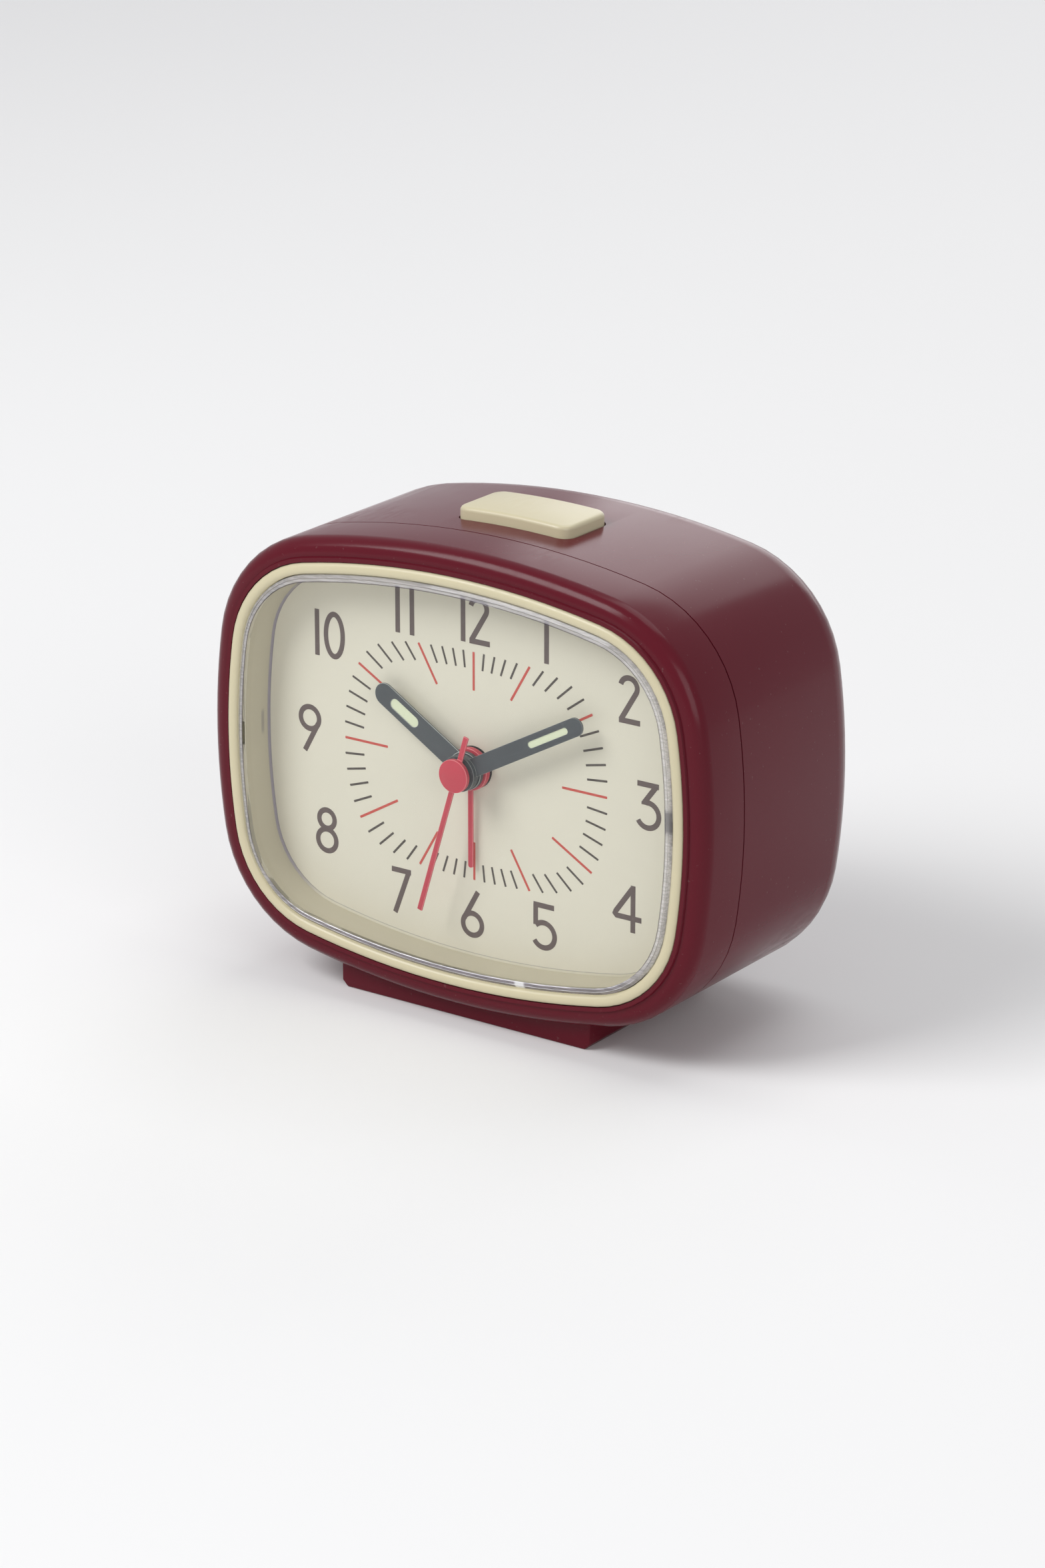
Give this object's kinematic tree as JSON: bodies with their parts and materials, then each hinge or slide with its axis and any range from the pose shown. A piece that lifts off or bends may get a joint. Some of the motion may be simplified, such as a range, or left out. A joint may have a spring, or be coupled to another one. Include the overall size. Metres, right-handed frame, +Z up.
{
  "type": "travel alarm clock",
  "caption": "Vintage-style battery alarm clock with a television-shaped case, cream bezel, printed dial, four hands, top snooze button and rear setting knobs.",
  "frame": {"origin": "under the middle of the clock, on the surface that its foot stands on", "axes": "+X to the right as the dial is seen, +Y to the back, +Z up; the dial faces -Y"},
  "size_m": [0.114, 0.06, 0.0958],
  "materials": {
    "crimson_shell": "glossy deep red moulded plastic",
    "cream_trim": "satin cream moulded plastic",
    "clear_lens": "clear polished acrylic",
    "beige_surround": "matt beige moulded plastic",
    "dial_print": "printed matt card-like plate",
    "black_plastic": "black moulded plastic",
    "white_nylon": "natural acetal",
    "steel": "zinc-plated steel",
    "brass": "turned brass",
    "copper_wire": "enamelled copper winding",
    "magnet": "sintered magnet",
    "board": "green circuit board",
    "cell_jacket": "plain metal-cased cell",
    "slate_hand": "dark slate painted aluminium",
    "red_hand": "red painted aluminium",
    "lume": "pale green luminous fill"
  },
  "bodies": {
    "case": {"front_frame": "crimson_shell", "bezel_ring": "cream_trim", "lens": "clear_lens", "dial_surround": "beige_surround", "dial_plate": "dial_print", "dial_carrier": "black_plastic", "rear_shell": "crimson_shell", "base_foot": "crimson_shell", "dial_screws": "steel", "case_screws": "steel", "movement_screws": "steel", "movement_front_case": "black_plastic", "middle_plate": "white_nylon", "movement_rear_cover": "black_plastic", "stator": "steel", "motor_coil": "copper_wire", "circuit_board": "board", "quartz_crystal": "steel", "driver_chip": "black_plastic", "battery_box": "black_plastic", "battery_cell": "cell_jacket", "battery_spring": "steel", "battery_contact": "steel", "buzzer": "black_plastic", "snooze_spring": "steel", "snooze_switch": "steel", "switch_board": "board", "alarm_switch_body": "black_plastic"},
    "second_hand_and_wheel": {"second_hand": "red_hand", "second_wheel": "white_nylon"},
    "reduction": {"reduction_wheel": "white_nylon"},
    "rotor": {"rotor_magnet": "magnet", "rotor_pinion": "white_nylon"},
    "third": {"third_wheel": "white_nylon"},
    "centre": {"centre_wheel": "brass"},
    "minute": {"minute_hand": "slate_hand", "minute_lume": "lume", "cannon_pinion": "brass"},
    "intermediate": {"intermediate_wheel": "white_nylon"},
    "hour": {"hour_hand": "slate_hand", "hour_lume": "lume", "hour_wheel": "white_nylon"},
    "time_setting": {"time_knob": "black_plastic", "time_stem": "steel"},
    "alarm_set": {"alarm_hand": "red_hand", "alarm_wheel": "white_nylon"},
    "alarm_setting": {"alarm_knob": "black_plastic", "alarm_stem": "steel"},
    "snooze": {"snooze_button": "cream_trim", "snooze_plunger": "black_plastic"},
    "alarm_switch": {"alarm_slider": "black_plastic"},
    "door": {"battery_door": "crimson_shell"}
  },
  "joints": [
    {"name": "second_turn", "type": "hinge", "parent": "case", "child": "second_hand_and_wheel", "pos_m": [0, 0, 0.0495], "axis": [0, 1, 0], "continuous": true},
    {"name": "reduction_turn", "type": "hinge", "parent": "case", "child": "reduction", "pos_m": [-0.012, 0, 0.0495], "axis": [0, 1, 0], "continuous": true},
    {"name": "rotor_turn", "type": "hinge", "parent": "case", "child": "rotor", "pos_m": [-0.0204, 0, 0.0495], "axis": [0, 1, 0], "continuous": true},
    {"name": "third_turn", "type": "hinge", "parent": "case", "child": "third", "pos_m": [0, 0, 0.03726], "axis": [0, 1, 0], "continuous": true},
    {"name": "centre_turn", "type": "hinge", "parent": "case", "child": "centre", "pos_m": [0, 0, 0.0495], "axis": [0, 1, 0], "continuous": true},
    {"name": "minute_turn", "type": "hinge", "parent": "case", "child": "minute", "pos_m": [0, 0, 0.0495], "axis": [0, 1, 0], "continuous": true},
    {"name": "intermediate_turn", "type": "hinge", "parent": "case", "child": "intermediate", "pos_m": [0.00751, 0, 0.0561], "axis": [0, 1, 0], "continuous": true},
    {"name": "hour_turn", "type": "hinge", "parent": "case", "child": "hour", "pos_m": [0, 0, 0.0495], "axis": [0, 1, 0], "continuous": true},
    {"name": "time_setting_turn", "type": "hinge", "parent": "case", "child": "time_setting", "pos_m": [0.01503, 0, 0.0627], "axis": [0, 1, 0], "continuous": true},
    {"name": "alarm_turn", "type": "hinge", "parent": "case", "child": "alarm_set", "pos_m": [0, 0, 0.0495], "axis": [0, 1, 0], "continuous": true},
    {"name": "alarm_setting_turn", "type": "hinge", "parent": "case", "child": "alarm_setting", "pos_m": [-0.00904, 0, 0.0627], "axis": [0, 1, 0], "continuous": true},
    {"name": "snooze_press", "type": "slide", "parent": "case", "child": "snooze", "axis": [0, 0, -1], "range_m": [0, 0.001], "stiffness_N_per_m": 450, "springref_m": -0.0006, "deforming": ["snooze_spring"]},
    {"name": "alarm_switch_slide", "type": "slide", "parent": "case", "child": "alarm_switch", "axis": [1, 0, 0], "range_m": [0, 0.003]},
    {"name": "battery_door_off", "type": "slide", "parent": "case", "child": "door", "axis": [0, 1, 0], "range_m": [0, 0.016]}
  ],
  "couplings": [
    {"joint": "reduction_turn", "follows": "second_turn", "ratio": -5},
    {"joint": "rotor_turn", "follows": "second_turn", "ratio": 30},
    {"joint": "third_turn", "follows": "second_turn", "ratio": -0.13333},
    {"joint": "centre_turn", "follows": "second_turn", "ratio": 0.016667},
    {"joint": "intermediate_turn", "follows": "minute_turn", "ratio": -0.33333},
    {"joint": "hour_turn", "follows": "minute_turn", "ratio": 0.083333},
    {"joint": "time_setting_turn", "follows": "minute_turn", "ratio": 1},
    {"joint": "alarm_setting_turn", "follows": "alarm_turn", "ratio": -3}
  ]
}
